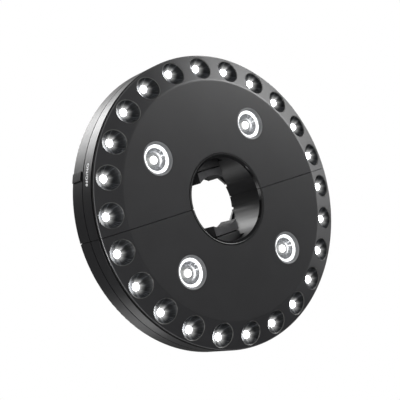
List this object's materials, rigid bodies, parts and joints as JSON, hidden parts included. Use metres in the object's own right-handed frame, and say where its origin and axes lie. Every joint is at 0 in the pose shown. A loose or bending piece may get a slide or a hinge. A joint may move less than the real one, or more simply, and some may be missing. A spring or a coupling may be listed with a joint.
{
  "type": "patio umbrella light",
  "caption": "Round two-part lamp that closes round an umbrella pole, gripped by sprung padded jaws, with a ring of small lights, larger lamps, battery bays and fold-out hooks.",
  "frame": {"origin": "on the pole axis, half way along the clamp pads", "axes": "+Z along the pole out of the back (the lamp face looks along -Z), +Y towards the half with the power button, +X towards the latch end of the seam, the hinge at -X"},
  "size_m": [0.2074, 0.2, 0.0321],
  "materials": {
    "charcoal_plastic": "satin moulded ABS",
    "grey_plastic": "satin moulded ABS",
    "black_plastic": "matt moulded nylon",
    "grip_rubber": "matt, ribbed",
    "board_laminate": "satin solder mask",
    "bulb_resin": "clear resin, lit white",
    "clear_lens": "clear moulded acrylic",
    "bright_reflector": "vacuum-plated plastic",
    "plated_steel": "bright plated",
    "cell_jacket": "plain printed jacket, no lettering",
    "lead_rubber": "matt"
  },
  "bodies": {
    "switch_half": {"switch_front_cover": "charcoal_plastic", "switch_rear_cover": "charcoal_plastic", "switch_led_board": "board_laminate", "switch_ring_lights": "bulb_resin", "switch_lamp_bezels": "grey_plastic", "switch_lamp_lenses": "clear_lens", "switch_lamp_reflectors": "bright_reflector", "switch_lamp_chips": "bulb_resin", "switch_battery_contacts": "plated_steel", "switch_contact_springs": "plated_steel", "switch_cells": "cell_jacket", "switch_cover_screws": "plated_steel", "switch_jaw_spring": "plated_steel", "button_switch": "black_plastic", "button_board": "board_laminate", "switch_lead": "lead_rubber", "hinge_pin": "plated_steel", "link_lead": "lead_rubber"},
    "swing_half": {"swing_front_cover": "charcoal_plastic", "swing_rear_cover": "charcoal_plastic", "swing_led_board": "board_laminate", "swing_ring_lights": "bulb_resin", "swing_lamp_bezels": "grey_plastic", "swing_lamp_lenses": "clear_lens", "swing_lamp_reflectors": "bright_reflector", "swing_lamp_chips": "bulb_resin", "swing_battery_contacts": "plated_steel", "swing_contact_springs": "plated_steel", "swing_cells": "cell_jacket", "swing_cover_screws": "plated_steel", "swing_jaw_spring": "plated_steel"},
    "switch_jaw": {"switch_jaw": "charcoal_plastic", "switch_jaw_pad": "grip_rubber"},
    "swing_jaw": {"swing_jaw": "charcoal_plastic", "swing_jaw_pad": "grip_rubber"},
    "power_button": {"power_button": "charcoal_plastic"},
    "latch_slide": {"latch_slide": "grey_plastic"},
    "switch_battery_door": {"switch_battery_door": "charcoal_plastic"},
    "swing_battery_door": {"swing_battery_door": "charcoal_plastic"},
    "switch_hook": {"switch_hook": "charcoal_plastic"},
    "swing_hook": {"swing_hook": "charcoal_plastic"}
  },
  "joints": [
    {"name": "swing_hinge", "type": "hinge", "parent": "switch_half", "child": "swing_half", "pos_m": [-0.104, 0, 0.0062], "axis": [0, 0, -1], "range_deg": [0, 100], "deforming": ["link_lead"]},
    {"name": "switch_jaw_slide", "type": "slide", "parent": "switch_half", "child": "switch_jaw", "axis": [0, 1, 0], "range_m": [0, 0.006], "stiffness_N_per_m": 400, "springref_m": -0.01, "deforming": ["switch_jaw_spring"]},
    {"name": "swing_jaw_slide", "type": "slide", "parent": "swing_half", "child": "swing_jaw", "axis": [0, -1, 0], "range_m": [0, 0.006], "stiffness_N_per_m": 400, "springref_m": -0.01, "deforming": ["swing_jaw_spring"]},
    {"name": "power_button_press", "type": "slide", "parent": "switch_half", "child": "power_button", "axis": [-0.9143, -0.4051, 0], "range_m": [0, 0.0008], "stiffness_N_per_m": 1500, "springref_m": -0.0005},
    {"name": "latch_slide_move", "type": "slide", "parent": "switch_half", "child": "latch_slide", "axis": [1, 0, 0], "range_m": [0, 0.0046]},
    {"name": "switch_door_hinge", "type": "hinge", "parent": "switch_half", "child": "switch_battery_door", "pos_m": [0, 0.0592, 0.0117], "axis": [1, 0, 0], "range_deg": [0, 90]},
    {"name": "swing_door_hinge", "type": "hinge", "parent": "swing_half", "child": "swing_battery_door", "pos_m": [0, -0.0592, 0.0117], "axis": [-1, 0, 0], "range_deg": [0, 90]},
    {"name": "switch_hook_fold", "type": "hinge", "parent": "switch_half", "child": "switch_hook", "pos_m": [0.06, 0.014, 0.0116], "axis": [1, 0, 0], "range_deg": [0, 90]},
    {"name": "swing_hook_fold", "type": "hinge", "parent": "swing_half", "child": "swing_hook", "pos_m": [-0.06, -0.014, 0.0116], "axis": [-1, 0, 0], "range_deg": [0, 90]}
  ]
}
